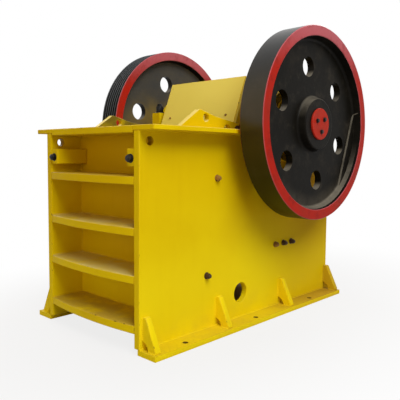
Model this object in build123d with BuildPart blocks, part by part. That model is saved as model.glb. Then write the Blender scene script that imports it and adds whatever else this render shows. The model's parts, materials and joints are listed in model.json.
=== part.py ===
from build123d import *
import os
from math import cos, hypot, radians, sin, tan

# Single-toggle jaw crusher, millimetres.
# X runs along the shaft towards the plain flywheel, the ribbed front faces -Y, Z is up.
# The origin is on the ground, at the middle of the foundation bolts.

# Fits
fit_gap = 0.3
moving_gap = 5

# Frame plates
inner_width = 835
side_thickness = 45
frame_length = 1950
flange_top = 1250
flange_thickness = 28
flange_overhang = 118
flange_ledge = 12
rear_shoulder = 800
rear_seat_margin = 20

# Base
base_thickness = 30
base_overhang = 129
base_lap = 16
bolt_pitch = 653
bolt_offset = 267
bolt_row = 548
bolt_hole_radius = 17
gusset_places = (40, 636, 1310)
gusset_thickness = 40
gusset_top = 213
gusset_reach = 110
gusset_nose = 28
gusset_toe = 12
gusset_snipe = 45

# Front wall and its ribs
wall_setback = 232
wall_thickness = 55
rib_tops = (976, 697, 434, 157)
rib_thickness = 46
rib_bow = 32
top_plate_thickness = 40
clamp_width = 65
clamp_drop = 124
clamp_height = 98
clamp_setback = 6

# Holes in the side plates
sling_hole_radius = 24
sling_hole_offset = 75
sling_hole_drop = 83
access_hole_radius = 65
access_hole_offset = 863
access_hole_height = 189

# Lifting lugs
lug_thickness = 36
lug_foot_offset = 313
lug_length = 540
lug_apex_offset = 486
lug_apex_height = 116
lug_apex_radius = 30
lug_waist_offset = 625
lug_waist_height = 79
lug_tail_height = 44
lug_hole_offset = 540
lug_hole_height = 66
lug_hole_radius = 25
lug_notch_offsets = (737, 840)
lug_notch_radius = 34

# Shaft and its bearings
shaft_offset = 1295
shaft_rise = 51
shaft_throw = 12
throw_angle = 160
journal_radius = 95
wheel_seat_radius = 80
eccentric_radius = 125
housing_radius = 255
housing_inner = 400
housing_width = 140
ear_width = 80
ear_reach = 375
ear_height = 109
ear_fillet = 30
cover_radius = 205
cover_thickness = 22
seal_ring_radius = 138
seal_ring_height = 14

# Wheels
wheel_radius = 636
wheel_width = 175
wheel_inner = 602.5
rim_depth = 67
rim_draft = 12
rim_chamfer = 4
web_thickness = 48
web_recess = 66
web_fillet = 18
hub_radius = 168
hub_draft = 16
hub_tail = 15
hub_edge_radius = 10
cap_radius = 104
cap_thickness = 12
cap_chamfer = 3
web_hole_radius = 66
web_hole_ring = 380
web_hole_count = 6
web_hole_phase = 99.4
weight_chord = 485
weight_thickness = 12
groove_count = 6
groove_pitch = 26
groove_width = 23
groove_depth = 19
groove_floor = 10

# Crushing chamber
gape = 500
nip_angle = 21
jaw_plate_thickness = 85
tooth_height = 30
tooth_pitch = 66
tooth_land = 12
fixed_plate_bottom = 215
fixed_plate_drop = 55
fixed_plate_gap = 1.5
support_height = 45
support_depth = 70
cheek_thickness = 40
cheek_split = 640
cheek_joint = 4
cheek_past_face = 70
cheek_bottom = 220

# Swing jaw
jaw_width = 730
jaw_plate_length = 1110
jaw_toe = 1130
slab_thickness = 90
head_radius = 235
head_cover_thickness = 25
head_cover_radius = 205
jaw_rib_thickness = 45
jaw_inner_rib = 106
guard_width = 720
guard_top = 404
guard_foot = 25
guard_thickness = 25
guard_rib_depth = 105
wedge_top = 72
wedge_gap = 5
wedge_nose = 40
toggle_seat_drop = 880
toggle_seat_depth = 300
toggle_beam_height = 210

# Toggle, adjusting block and rear wall
toggle_rear_offset = 1243
toggle_height = 465
toggle_thickness = 45
toggle_end_radius = 32
toggle_width = 660
seat_lip = 6
block_depth = 150
block_height = 180
block_side_gap = 5
guide_height = 50
guide_thickness = 40
guide_lead = 40
shim_count = 4
shim_thickness = 20
shim_gap = 0.5
rear_wall_thickness = 50
rear_wall_bottom = 300
rear_wall_top = 960
rear_rib_thickness = 40
rear_rib_count = 4
rear_rib_depth = 320

# Tension rod
rod_height = 189
rod_pin_offset = 730
rod_radius = 20
rod_pin_radius = 22
rod_eye_radius = 45
rod_eye_width = 40
rod_ear_gap = 3
rod_ear_thickness = 30
rod_tail = 25
bracket_offset = 90
bracket_thickness = 25
bracket_width = 170
bracket_below = 70
bracket_hole_radius = 46
spring_radius = 58
spring_wire_radius = 10
spring_turns = 5
spring_length = 155
spring_rest_gap = 1.5
washer_thickness = 15
nut_height = 42
nut_width = 65

# Places worked out from the sizes above
front_y = -bolt_offset - bolt_pitch
rear_y = front_y + frame_length
half_inner = inner_width / 2
half_outer = half_inner + side_thickness
side_top = flange_top - flange_thickness
flange_inner = half_inner - flange_ledge
flange_outer = half_outer + flange_overhang
wall_front = front_y + wall_setback
wall_rear = wall_front + wall_thickness
shaft_y = front_y + shaft_offset
shaft_height = flange_top + shaft_rise
throw_y = shaft_y + shaft_throw * cos(radians(throw_angle))
throw_z = shaft_height + shaft_throw * sin(radians(throw_angle))
seat_radius = housing_radius + fit_gap
rear_seat_y = shaft_y + ear_reach + rear_seat_margin
shaft_axis = Axis((0, shaft_y, shaft_height), (1, 0, 0))
shaft_plane = Plane((0, shaft_y, shaft_height), x_dir=(1, 0, 0), z_dir=(0, -1, 0))

fixed_face = wall_rear + jaw_plate_thickness
fixed_plate_top = flange_top - fixed_plate_drop
chamber_half = half_inner - cheek_thickness
swing_face = fixed_face + gape
nip_sin = sin(radians(nip_angle))
nip_cos = cos(radians(nip_angle))
jaw_half = jaw_width / 2
head_half = jaw_half - head_cover_thickness

# On the jaw plane, x runs down the face of the swing jaw and y runs to the rear from it.
jaw_plane = Plane((0, swing_face, flange_top), x_dir=(0, -nip_sin, -nip_cos), z_dir=(1, 0, 0))


def on_jaw(y, z):
    rear = y - swing_face
    rise = z - flange_top
    return (-rear * nip_sin - rise * nip_cos, rear * nip_cos - rise * nip_sin)


def off_jaw(drop, depth):
    return (swing_face - drop * nip_sin + depth * nip_cos, flange_top - drop * nip_cos - depth * nip_sin)


head_drop, head_depth = on_jaw(throw_y, throw_z)

# The toggle runs from the adjusting block to the middle of the swing jaw's travel at its seat.
toggle_rear_y = front_y + toggle_rear_offset
jaw_seat_y, jaw_seat_z = off_jaw(toggle_seat_drop, toggle_seat_depth)
toggle_run = toggle_rear_y - (jaw_seat_y + shaft_y - throw_y)
toggle_rise = toggle_height - (jaw_seat_z + shaft_height - throw_z)
toggle_length = hypot(toggle_run, toggle_rise)
toggle_slot = 2 * (toggle_end_radius + shaft_throw + moving_gap)
toggle_plane = Plane((0, toggle_rear_y, toggle_height), x_dir=(0, -toggle_run, -toggle_rise), z_dir=(1, 0, 0))

os.makedirs("parts", exist_ok=True)


def save(piece, name):
    piece.part.label = name
    export_step(piece.part, f"parts/{name}.step")


def save_pair(piece, name):
    save(piece, f"{name}_right")
    with BuildPart() as other_side:
        mirror(piece.part, about=Plane.YZ)
    save(other_side, f"{name}_left")


# Side plate: cut out round the bearing housing and sloped down to the rear
with BuildPart() as side_plate:
    with BuildSketch(Plane.YZ.offset(half_inner)):
        with BuildLine():
            Polyline(
                (front_y, base_thickness),
                (front_y, side_top),
                (rear_seat_y, side_top),
                (rear_y, rear_shoulder),
                (rear_y, base_thickness),
                close=True,
            )
        make_face()
        with Locations((shaft_y, shaft_height)):
            Circle(seat_radius, mode=Mode.SUBTRACT)
        with Locations((front_y + sling_hole_offset, flange_top - sling_hole_drop)):
            Circle(sling_hole_radius, mode=Mode.SUBTRACT)
        with Locations((front_y + access_hole_offset, access_hole_height)):
            Circle(access_hole_radius, mode=Mode.SUBTRACT)
    extrude(amount=side_thickness)
save_pair(side_plate, "side_plate")

# Top flange: a front run to the bearing seat and a short run behind it
with BuildPart() as top_flange:
    with BuildSketch(Plane.XY.offset(side_top)):
        flange_width = flange_outer - flange_inner
        flange_middle = (flange_outer + flange_inner) / 2
        for run_start, run_end in ((front_y, shaft_y - seat_radius), (shaft_y + seat_radius, rear_seat_y)):
            with Locations((flange_middle, (run_start + run_end) / 2)):
                Rectangle(flange_width, run_end - run_start)
    extrude(amount=flange_thickness)
save_pair(top_flange, "top_flange")

# Base flange with its foundation holes
with BuildPart() as base_flange:
    with BuildSketch(Plane.XY):
        base_inner = half_outer - base_lap
        base_outer = half_outer + base_overhang
        with Locations(((base_inner + base_outer) / 2, (front_y + rear_y) / 2)):
            Rectangle(base_outer - base_inner, frame_length)
        with Locations((bolt_row, -bolt_pitch), (bolt_row, 0), (bolt_row, bolt_pitch)):
            Circle(bolt_hole_radius, mode=Mode.SUBTRACT)
    extrude(amount=base_thickness)
save_pair(base_flange, "base_flange")

# Gussets, with a round snipe at the inner corner, clear of the weld
with BuildPart() as gussets:
    for place in (*gusset_places, frame_length - gusset_thickness / 2):
        with BuildSketch(Plane.XZ.offset(-front_y - place)):
            with BuildLine():
                Polyline(
                    (half_outer, base_thickness),
                    (half_outer, gusset_top),
                    (half_outer + gusset_nose, gusset_top),
                    (half_outer + gusset_reach, base_thickness + gusset_toe),
                    (half_outer + gusset_reach, base_thickness),
                    close=True,
                )
            make_face()
            with Locations((half_outer, base_thickness)):
                Circle(gusset_snipe, mode=Mode.SUBTRACT)
        extrude(amount=gusset_thickness / 2, both=True)
save_pair(gussets, "gussets")

# Lifting lug: a long plate with a rounded horn over its eye and two half-round notches in its tail
with BuildPart() as lifting_lug:
    with BuildSketch(Plane.YZ.offset(flange_inner)) as lug_outline:
        with BuildLine():
            Polyline(
                (front_y + lug_foot_offset, flange_top),
                (front_y + lug_apex_offset, flange_top + lug_apex_height),
                (front_y + lug_waist_offset, flange_top + lug_waist_height),
                (front_y + lug_foot_offset + lug_length, flange_top + lug_tail_height),
                (front_y + lug_foot_offset + lug_length, flange_top),
                close=True,
            )
        make_face()
        fillet(lug_outline.vertices().sort_by(Axis.Y)[-1], lug_apex_radius)
        with Locations((front_y + lug_hole_offset, flange_top + lug_hole_height)):
            Circle(lug_hole_radius, mode=Mode.SUBTRACT)
        with Locations([(front_y + offset, flange_top) for offset in lug_notch_offsets]):
            Circle(lug_notch_radius, mode=Mode.SUBTRACT)
    extrude(amount=lug_thickness)
save_pair(lifting_lug, "lifting_lug")

# Front wall and the plate over it
wall_top = flange_top - top_plate_thickness
with BuildPart() as front_wall:
    wall_bottom = rib_tops[-1] - rib_thickness
    with BuildSketch(Plane.XY.offset(wall_bottom)):
        with Locations((0, (wall_front + wall_rear) / 2)):
            Rectangle(inner_width, wall_thickness)
    extrude(amount=wall_top - wall_bottom)
save(front_wall, "front_wall")

with BuildPart() as front_top_plate:
    with BuildSketch(Plane.XY.offset(wall_top)):
        with Locations((0, (front_y + wall_rear) / 2)):
            Rectangle(2 * flange_inner, wall_rear - front_y)
    extrude(amount=top_plate_thickness)
save(front_top_plate, "front_top_plate")

# Front ribs: deep shelves whose front edge bows out
for number, rib_top in enumerate(rib_tops, start=1):
    with BuildPart() as front_rib:
        with BuildSketch(Plane.XY.offset(rib_top)):
            with BuildLine():
                Polyline(
                    (-half_inner, front_y),
                    (-half_inner, wall_front),
                    (half_inner, wall_front),
                    (half_inner, front_y),
                )
                ThreePointArc((half_inner, front_y), (0, front_y - rib_bow), (-half_inner, front_y))
            make_face()
        extrude(amount=-rib_thickness)
    save(front_rib, f"front_rib_{number}")

# Clamp bars in the top bay
with BuildPart() as clamp_bar:
    with BuildSketch(Plane.XY.offset(flange_top - clamp_drop)):
        with Locations((half_inner - clamp_width / 2, (front_y + clamp_setback + wall_front) / 2)):
            Rectangle(clamp_width, wall_setback - clamp_setback)
    extrude(amount=-clamp_height)
save_pair(clamp_bar, "clamp_bar")

# Bearing housing and cap, split at the height of the shaft
journal_bore = journal_radius + fit_gap
ear_plane = Plane((housing_inner, shaft_y, shaft_height), x_dir=(0, 1, 0), z_dir=(1, 0, 0))
for name, ear_low, ear_high in (
    ("bearing_housing", flange_top - shaft_height, 0),
    ("bearing_cap", 0, ear_height),
):
    with BuildPart() as bearing_half:
        with BuildSketch(ear_plane):
            Circle(housing_radius)
            half_side = 1 if ear_low == 0 else -1
            with Locations((0, -half_side * housing_radius)):
                Rectangle(2 * housing_radius, 2 * housing_radius, mode=Mode.SUBTRACT)
            Circle(journal_bore, mode=Mode.SUBTRACT)
        extrude(amount=housing_width)
        with BuildSketch(ear_plane):
            with Locations((0, (ear_low + ear_high) / 2)):
                Rectangle(2 * ear_reach, ear_high - ear_low)
            Circle(journal_bore, mode=Mode.SUBTRACT)
        extrude(amount=ear_width)
        if ear_low == 0:
            ear_corners = bearing_half.edges().filter_by(Axis.X).filter_by(
                lambda edge: abs(edge.center().Z - shaft_height - ear_height) < fit_gap
                and abs(edge.center().Y - shaft_y) < housing_radius
            )
            fillet(ear_corners, ear_fillet)
    save_pair(bearing_half, name)

with BuildPart() as bearing_cover:
    with BuildSketch(ear_plane.offset(housing_width)):
        Circle(cover_radius)
        Circle(journal_bore, mode=Mode.SUBTRACT)
    extrude(amount=cover_thickness)
    with BuildSketch(ear_plane.offset(housing_width)):
        Circle(seal_ring_radius)
        Circle(journal_bore, mode=Mode.SUBTRACT)
    extrude(amount=cover_thickness + seal_ring_height)
save_pair(bearing_cover, "bearing_cover")

# Eccentric shaft
hub_start = wheel_inner - hub_tail
shaft_end = wheel_inner + wheel_width - cap_thickness
with BuildPart() as eccentric_shaft:
    with BuildSketch(shaft_plane):
        with BuildLine():
            Polyline(
                (-shaft_end, 0),
                (-shaft_end, wheel_seat_radius),
                (-hub_start, wheel_seat_radius),
                (-hub_start, journal_radius),
                (hub_start, journal_radius),
                (hub_start, wheel_seat_radius),
                (shaft_end, wheel_seat_radius),
                (shaft_end, 0),
                close=True,
            )
        make_face()
    revolve(axis=shaft_axis)
    with BuildSketch(Plane.YZ):
        with Locations((throw_y, throw_z)):
            Circle(eccentric_radius)
    extrude(amount=head_half - fit_gap, both=True)
save(eccentric_shaft, "eccentric_shaft")

# Wheels: a plain flywheel at +X and a grooved belt sheave at -X
web_outer = wheel_inner + wheel_width - web_recess
web_inner = web_outer - web_thickness
rim_radius = wheel_radius - rim_depth
for name, side in (("flywheel", 1), ("belt_sheave", -1)):
    with BuildPart() as wheel:
        with BuildSketch(shaft_plane) as wheel_section:
            with BuildLine():
                Polyline(
                    (side * hub_start, wheel_seat_radius + fit_gap),
                    (side * shaft_end, wheel_seat_radius + fit_gap),
                    (side * shaft_end, hub_radius),
                    (side * web_outer, hub_radius + hub_draft),
                    (side * web_outer, rim_radius - rim_draft),
                    (side * (wheel_inner + wheel_width), rim_radius),
                    (side * (wheel_inner + wheel_width), wheel_radius),
                    (side * wheel_inner, wheel_radius),
                    (side * wheel_inner, rim_radius),
                    (side * web_inner, rim_radius - rim_draft),
                    (side * web_inner, hub_radius + hub_draft),
                    (side * hub_start, hub_radius),
                    close=True,
                )
            make_face()
            web_corners = wheel_section.vertices().filter_by(
                lambda corner: web_inner - fit_gap < abs(corner.X) < web_outer + fit_gap
            )
            fillet(web_corners, web_fillet)
            rim_corners = wheel_section.vertices().filter_by(lambda corner: corner.Y > rim_radius - fit_gap)
            chamfer(rim_corners, rim_chamfer)
            hub_corners = wheel_section.vertices().filter_by(
                lambda corner: abs(corner.Y - hub_radius) < fit_gap
            )
            fillet(hub_corners, hub_edge_radius)
        revolve(axis=shaft_axis)
        web_plane = Plane((side * web_outer, shaft_y, shaft_height), x_dir=(0, 1, 0), z_dir=(side, 0, 0))
        with BuildSketch(web_plane):
            with PolarLocations(web_hole_ring, web_hole_count, side * web_hole_phase):
                Circle(web_hole_radius)
        extrude(amount=-web_thickness, mode=Mode.SUBTRACT)
        # Balance segment, opposite the throw of the shaft
        with BuildSketch(web_plane):
            Circle(rim_radius)
            weight_angle = side * (throw_angle - 180)
            weight_middle = weight_chord + rim_radius
            with Locations(
                (weight_middle * cos(radians(weight_angle)), weight_middle * sin(radians(weight_angle)))
            ):
                Rectangle(2 * rim_radius, 2 * rim_radius, rotation=weight_angle, mode=Mode.INTERSECT)
        extrude(amount=weight_thickness)
        if name == "belt_sheave":
            with BuildSketch(shaft_plane):
                groove_middle = -wheel_inner - wheel_width / 2
                for groove in range(groove_count):
                    place = groove_middle + (groove - (groove_count - 1) / 2) * groove_pitch
                    with BuildLine():
                        Polyline(
                            (place - groove_width / 2, wheel_radius),
                            (place - groove_floor / 2, wheel_radius - groove_depth),
                            (place + groove_floor / 2, wheel_radius - groove_depth),
                            (place + groove_width / 2, wheel_radius),
                            close=True,
                        )
                    make_face()
            revolve(axis=shaft_axis, mode=Mode.SUBTRACT)
    save(wheel, name)

    with BuildPart() as end_cap:
        with BuildSketch(Plane((side * shaft_end, shaft_y, shaft_height), x_dir=(0, 1, 0), z_dir=(side, 0, 0))):
            Circle(cap_radius)
        extrude(amount=cap_thickness)
        chamfer(end_cap.faces().sort_by(Axis.X)[-1 if side == 1 else 0].edges(), cap_chamfer)
    save(end_cap, f"{name}_cap")


# Outline of a toothed jaw plate: teeth point to +y, the tips lie on y = 0
def toothed_outline(half_width, phase):
    valley = -tooth_height
    slope = (tooth_pitch - 2 * tooth_land) / 2
    points = [(-half_width, -jaw_plate_thickness), (-half_width, valley)]
    tooth_count = int((2 * half_width - tooth_land) // tooth_pitch) - 1
    first = -(tooth_count - 1) / 2 * tooth_pitch + phase * tooth_pitch
    for tooth in range(tooth_count):
        middle = first + tooth * tooth_pitch
        points += [
            (middle - tooth_land / 2 - slope, valley),
            (middle - tooth_land / 2, 0),
            (middle + tooth_land / 2, 0),
            (middle + tooth_land / 2 + slope, valley),
        ]
    points += [(half_width, valley), (half_width, -jaw_plate_thickness)]
    return points


with BuildPart() as fixed_jaw_plate:
    with BuildSketch(Plane((0, fixed_face, fixed_plate_bottom))):
        with BuildLine():
            Polyline(*toothed_outline(chamber_half - fixed_plate_gap, 0), close=True)
        make_face()
    extrude(amount=fixed_plate_top - fixed_plate_bottom)
save(fixed_jaw_plate, "fixed_jaw_plate")

with BuildPart() as swing_jaw_plate:
    with BuildSketch(Plane((0, swing_face, flange_top), x_dir=(1, 0, 0), z_dir=(0, -nip_sin, -nip_cos))):
        with BuildLine():
            Polyline(*toothed_outline(jaw_half, 0.5), close=True)
        make_face()
    extrude(amount=jaw_plate_length)
save(swing_jaw_plate, "swing_jaw_plate")

with BuildPart() as jaw_support_bar:
    with BuildSketch(Plane.XY.offset(fixed_plate_bottom - support_height)):
        with Locations((0, wall_rear + support_depth / 2)):
            Rectangle(2 * chamber_half, support_depth)
    extrude(amount=support_height)
save(jaw_support_bar, "jaw_support_bar")

# Cheek plates: an upper and a lower liner on each side, past the swing jaw's face
with BuildPart() as cheek_plates:
    for low, high in ((cheek_bottom, cheek_split), (cheek_split + cheek_joint, fixed_plate_top)):
        with BuildSketch(Plane.YZ.offset(chamber_half)):
            with BuildLine():
                face_low = swing_face - (flange_top - low) * tan(radians(nip_angle))
                face_high = swing_face - (flange_top - high) * tan(radians(nip_angle))
                Polyline(
                    (wall_rear, low),
                    (wall_rear, high),
                    (face_high + cheek_past_face, high),
                    (face_low + cheek_past_face, low),
                    close=True,
                )
            make_face()
        extrude(amount=cheek_thickness)
save_pair(cheek_plates, "cheek_plates")

# Swing jaw casting: barrel round the shaft, front slab, ribs, toggle beam and rod ears
slab_front = jaw_plate_thickness
slab_back = slab_front + slab_thickness
beam_top = toggle_seat_drop - toggle_beam_height / 2
beam_bottom = toggle_seat_drop + toggle_beam_height / 2
pin_drop, pin_depth = on_jaw(front_y + rod_pin_offset, rod_height)
with BuildPart() as swing_jaw:
    with BuildSketch(jaw_plane):
        with Locations((head_drop, head_depth)):
            Circle(head_radius)
    extrude(amount=head_half, both=True)
    slab_middle = (slab_front + slab_back) / 2
    with BuildSketch(jaw_plane):
        with Locations((head_drop / 2, slab_middle)):
            Rectangle(-head_drop, slab_thickness)
    extrude(amount=head_half, both=True)
    with BuildSketch(jaw_plane):
        with Locations((jaw_toe / 2, slab_middle)):
            Rectangle(jaw_toe, slab_thickness)
        with Locations((toggle_seat_drop, (toggle_seat_depth + slab_middle) / 2)):
            Rectangle(toggle_beam_height, toggle_seat_depth - slab_middle)
    extrude(amount=jaw_half, both=True)
    outer_rib = head_half - jaw_rib_thickness / 2
    for place in (-outer_rib, -jaw_inner_rib, jaw_inner_rib, outer_rib):
        with BuildSketch(jaw_plane.offset(place)):
            with BuildLine():
                Polyline(
                    (-guard_top, guard_thickness),
                    (-guard_top, guard_thickness + guard_rib_depth),
                    (head_drop, head_depth),
                    (head_drop, head_depth + head_radius - slab_thickness / 2),
                    (beam_top, toggle_seat_depth),
                    (beam_bottom, toggle_seat_depth),
                    (jaw_toe, slab_back),
                    (jaw_toe, slab_front),
                    (-wedge_top - wedge_gap, slab_front),
                    (-wedge_top - wedge_gap, guard_thickness),
                    close=True,
                )
            make_face()
        extrude(amount=jaw_rib_thickness / 2, both=True)
    for side in (-1, 1):
        ear_middle = side * (rod_eye_width / 2 + rod_ear_gap + rod_ear_thickness / 2)
        with BuildSketch(jaw_plane.offset(ear_middle)):
            with Locations((pin_drop, pin_depth)):
                Circle(rod_eye_radius)
            with BuildLine():
                Polyline(
                    (beam_bottom, slab_back),
                    (beam_bottom, pin_depth + rod_eye_radius),
                    (pin_drop, pin_depth + rod_eye_radius),
                    (pin_drop, pin_depth - rod_eye_radius),
                    (pin_drop, slab_back),
                    close=True,
                )
            make_face()
            with Locations((pin_drop, pin_depth)):
                Circle(rod_pin_radius + fit_gap, mode=Mode.SUBTRACT)
        extrude(amount=rod_ear_thickness / 2, both=True)
    with BuildSketch(jaw_plane):
        with Locations((head_drop, head_depth)):
            Circle(eccentric_radius + fit_gap)
    extrude(amount=jaw_half, both=True, mode=Mode.SUBTRACT)
    with BuildSketch(toggle_plane):
        with Locations((toggle_length, 0)):
            Circle(toggle_slot / 2)
        with Locations((toggle_length - toggle_slot, 0)):
            Rectangle(2 * toggle_slot, toggle_slot)
    toggle_channel = extrude(amount=jaw_half, both=True, mode=Mode.PRIVATE)
    add(toggle_channel.moved(Location((0, throw_y - shaft_y, throw_z - shaft_height))), mode=Mode.SUBTRACT)
save(swing_jaw, "swing_jaw")

# Covers over the ends of the head barrel
with BuildPart() as head_covers:
    cover_bore = journal_radius + shaft_throw + moving_gap
    for side in (-1, 1):
        with BuildSketch(jaw_plane.offset(side * head_half)):
            with Locations((head_drop, head_depth)):
                Circle(head_cover_radius)
                Circle(cover_bore, mode=Mode.SUBTRACT)
        extrude(amount=side * head_cover_thickness)
save(head_covers, "head_covers")

# Guard plate over the head
with BuildPart() as guard_plate:
    with BuildSketch(jaw_plane):
        with Locations((-(guard_top + guard_foot) / 2, guard_thickness / 2)):
            Rectangle(guard_top - guard_foot, guard_thickness)
    extrude(amount=guard_width / 2, both=True)
save(guard_plate, "guard_plate")

# Wedge bar that holds the top of the swing jaw plate
with BuildPart() as jaw_wedge:
    with BuildSketch(jaw_plane):
        with BuildLine():
            Polyline(
                (-wedge_top, guard_thickness + fit_gap),
                (-wedge_top, slab_front),
                (0, slab_front),
                (0, wedge_nose),
                close=True,
            )
        make_face()
    extrude(amount=jaw_half, both=True)
save(jaw_wedge, "jaw_wedge")

# Toggle plate: seated in the adjusting block, with play in the swing jaw's channel
with BuildPart() as toggle_plate:
    with BuildSketch(toggle_plane):
        with Locations((toggle_length / 2, 0)):
            Rectangle(toggle_length, toggle_thickness)
        with Locations((0, 0), (toggle_length, 0)):
            Circle(toggle_end_radius)
    extrude(amount=toggle_width / 2, both=True)
save(toggle_plate, "toggle_plate")

# Adjusting block, notched over a guide bar at each end, and the shims behind it
block_front = toggle_rear_y + seat_lip
block_rear = block_front + block_depth
block_half = half_inner - block_side_gap
with BuildPart() as adjusting_block:
    with BuildSketch(Plane.YZ):
        with Locations((block_front + block_depth / 2, toggle_height)):
            Rectangle(block_depth, block_height)
        with Locations((toggle_rear_y, toggle_height)):
            Circle(toggle_end_radius + fit_gap, mode=Mode.SUBTRACT)
    extrude(amount=block_half, both=True)
    notch_inner = half_inner - guide_thickness - block_side_gap
    for side in (-1, 1):
        with BuildSketch(Plane.YZ.offset(side * notch_inner)):
            with Locations((block_front + block_depth / 2, toggle_height)):
                Rectangle(block_depth, guide_height + 2 * fit_gap)
        extrude(amount=side * (block_half - notch_inner), mode=Mode.SUBTRACT)
save(adjusting_block, "adjusting_block")

rear_wall_front = block_rear + shim_count * (shim_thickness + shim_gap)
with BuildPart() as adjusting_shims:
    for shim in range(shim_count):
        with BuildSketch(Plane.YZ):
            shim_front = block_rear + shim * (shim_thickness + shim_gap) + shim_gap
            with Locations((shim_front + shim_thickness / 2, toggle_height)):
                Rectangle(shim_thickness, block_height)
        extrude(amount=notch_inner, both=True)
save(adjusting_shims, "adjusting_shims")

with BuildPart() as guide_bar:
    with BuildSketch(Plane.YZ.offset(half_inner)):
        guide_start = block_front - guide_lead
        with Locations(((guide_start + rear_wall_front) / 2, toggle_height)):
            Rectangle(rear_wall_front - guide_start, guide_height)
    extrude(amount=-guide_thickness)
save_pair(guide_bar, "guide_bar")

# Rear wall and its ribs
rear_wall_rear = rear_wall_front + rear_wall_thickness
with BuildPart() as rear_wall:
    with BuildSketch(Plane.XY.offset(rear_wall_bottom)):
        with Locations((0, rear_wall_front + rear_wall_thickness / 2)):
            Rectangle(inner_width, rear_wall_thickness)
    extrude(amount=rear_wall_top - rear_wall_bottom)
save(rear_wall, "rear_wall")

with BuildPart() as rear_ribs:
    rib_step = (rear_wall_top - rear_wall_bottom - rear_rib_thickness) / (rear_rib_count - 1)
    for rib in range(rear_rib_count):
        with BuildSketch(Plane.XY.offset(rear_wall_bottom + rib * rib_step)):
            with Locations((0, rear_wall_rear + rear_rib_depth / 2)):
                Rectangle(inner_width, rear_rib_depth)
        extrude(amount=rear_rib_thickness)
save(rear_ribs, "rear_ribs")

# Spring bracket under the lowest rear rib, and the spring on it
bracket_y = rear_wall_rear + bracket_offset
bracket_rear = bracket_y + bracket_thickness
with BuildPart() as spring_bracket:
    with BuildSketch(Plane.XZ.offset(-bracket_rear)):
        bracket_bottom = rod_height - bracket_below
        with Locations((0, (bracket_bottom + rear_wall_bottom) / 2)):
            Rectangle(bracket_width, rear_wall_bottom - bracket_bottom)
        with Locations((0, rod_height)):
            Circle(bracket_hole_radius, mode=Mode.SUBTRACT)
    extrude(amount=bracket_thickness)
save(spring_bracket, "spring_bracket")

spring_outer = spring_radius + spring_wire_radius
with BuildPart() as tension_spring:
    with BuildLine():
        spring_pitch = spring_length / spring_turns
        coil = Helix(spring_pitch, spring_length, spring_radius, (0, bracket_rear, rod_height), (0, 1, 0))
    with BuildSketch(Plane(coil @ 0, z_dir=coil % 0)):
        Circle(spring_wire_radius)
    sweep(path=coil, is_frenet=True)
    # The ends are ground flat
    with BuildSketch(Plane.XZ.offset(-bracket_rear)):
        with Locations((0, rod_height)):
            Circle(spring_outer + spring_wire_radius)
    extrude(amount=-spring_length, mode=Mode.INTERSECT)
save(tension_spring, "tension_spring")

# Tension rod: an eye on the jaw's pin, a straight rod, a washer and a nut behind the spring
pin_y = front_y + rod_pin_offset
washer_y = bracket_rear + spring_length + spring_rest_gap
nut_y = washer_y + washer_thickness
rod_end = nut_y + nut_height + rod_tail
with BuildPart() as tension_rod:
    with BuildSketch(Plane.YZ):
        with Locations((pin_y, rod_height)):
            Circle(rod_eye_radius)
    extrude(amount=rod_eye_width / 2, both=True)
    with BuildSketch(Plane.XZ.offset(-pin_y)):
        with Locations((0, rod_height)):
            Circle(rod_radius)
    extrude(amount=pin_y - rod_end)
    with BuildSketch(Plane.XZ.offset(-washer_y)):
        with Locations((0, rod_height)):
            Circle(spring_outer)
    extrude(amount=-washer_thickness)
    with BuildSketch(Plane.XZ.offset(-nut_y)):
        with Locations((0, rod_height)):
            RegularPolygon(nut_width / 2, 6, major_radius=False)
    extrude(amount=-nut_height)
    with BuildSketch(Plane.YZ):
        with Locations((pin_y, rod_height)):
            Circle(rod_pin_radius + fit_gap)
    extrude(amount=rod_eye_width / 2, both=True, mode=Mode.SUBTRACT)
save(tension_rod, "tension_rod")

with BuildPart() as rod_pin:
    with BuildSketch(Plane.YZ):
        with Locations((pin_y, rod_height)):
            Circle(rod_pin_radius)
    extrude(amount=rod_eye_width / 2 + rod_ear_gap + rod_ear_thickness, both=True)
save(rod_pin, "rod_pin")
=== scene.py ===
# Jaw crusher: finishes, fasteners, welds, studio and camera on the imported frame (metres)
import bpy
import json
from math import cos, pi, radians, sin, sqrt
from mathutils import Matrix, Vector


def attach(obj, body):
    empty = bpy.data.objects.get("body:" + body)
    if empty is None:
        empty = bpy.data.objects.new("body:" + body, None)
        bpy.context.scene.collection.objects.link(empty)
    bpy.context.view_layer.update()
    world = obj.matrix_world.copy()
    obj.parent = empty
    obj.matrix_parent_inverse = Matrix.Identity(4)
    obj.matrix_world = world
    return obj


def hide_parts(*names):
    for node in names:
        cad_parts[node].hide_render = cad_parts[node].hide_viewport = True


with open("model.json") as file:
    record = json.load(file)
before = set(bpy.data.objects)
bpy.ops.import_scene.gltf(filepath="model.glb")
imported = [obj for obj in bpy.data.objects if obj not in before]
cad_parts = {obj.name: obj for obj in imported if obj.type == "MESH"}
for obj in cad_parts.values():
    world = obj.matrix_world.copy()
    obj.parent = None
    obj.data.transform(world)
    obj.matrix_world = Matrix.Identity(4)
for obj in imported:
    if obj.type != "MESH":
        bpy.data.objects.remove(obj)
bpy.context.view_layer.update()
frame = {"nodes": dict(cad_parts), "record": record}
nodeBody = {node: body for body, nodes in frame["record"]["behaviour"]["bodies"].items() for node in nodes}
nodeSlot = {part["node"]: part["material_slot"] for part in frame["record"]["subparts"]}
shaftY, shaftZ = 0.375, 1.301  # shaft axis
bothSides = (1, -1)
print("frame:", len(frame["nodes"]), "nodes")

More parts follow.
